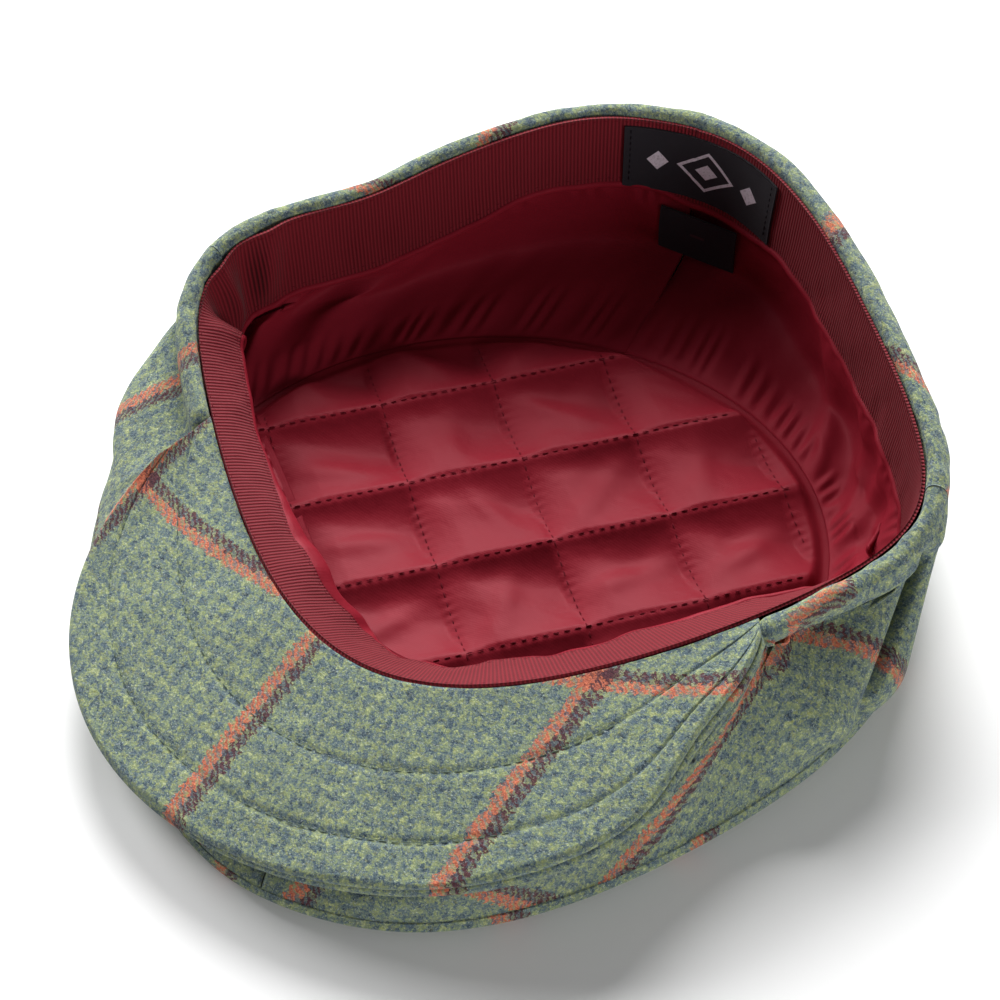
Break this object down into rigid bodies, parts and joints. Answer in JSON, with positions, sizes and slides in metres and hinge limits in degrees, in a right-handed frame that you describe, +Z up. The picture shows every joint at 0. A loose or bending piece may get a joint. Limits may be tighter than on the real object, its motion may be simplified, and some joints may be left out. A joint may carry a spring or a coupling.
{
  "type": "tweed flat cap",
  "caption": "Soft tweed newsboy or flat cap lying upside-down on its crown, with stiff visor, quilted satin lining, ribbon sweatband, label and hanging size tab.",
  "frame": {"origin": "centre of the bounding box, on the surface that the crown lies on; the cap is stored upside-down, so the crown's top faces down", "axes": "+Z up, out of the head opening; -Y from the head opening towards the visor's front edge; +Y the back of the head; +X the side on the right when looking from the visor towards the back"},
  "size_m": [0.2208, 0.2468, 0.0619],
  "materials": {
    "tweed": "fuzzy woven wool",
    "visor_board": "matt",
    "grosgrain": "ribbed",
    "satin": "satin",
    "wadding": "matt",
    "backing": "matt",
    "thread_red": "matt",
    "thread_green": "matt",
    "label_black": "woven",
    "thread_black": "matt"
  },
  "bodies": {
    "cap": {"crown_top_panel": "tweed", "side_panel_left": "tweed", "side_panel_right": "tweed", "back_panel": "tweed", "visor_under_cover": "tweed", "visor_board": "visor_board", "visor_top_cover": "tweed", "sweatband_ribbon": "grosgrain", "band_piping": "satin", "lining_side_left": "satin", "lining_side_right": "satin", "lining_crown_face": "satin", "lining_wadding": "wadding", "lining_backing": "backing", "quilting_thread": "thread_red", "band_thread_upper": "thread_red", "band_thread_lower": "thread_red", "visor_thread_edge": "thread_green", "visor_thread_inner": "thread_green", "maker_label": "label_black", "label_thread_left": "thread_black", "label_thread_right": "thread_black"},
    "size_tab": {"size_tab": "label_black"}
  },
  "joints": [
    {"name": "size_tab_swing", "type": "hinge", "parent": "cap", "child": "size_tab", "pos_m": [0.00419, 0.11034, 0.03112], "axis": [-0.9993, 0.038, 0], "range_deg": [0, 135]}
  ]
}
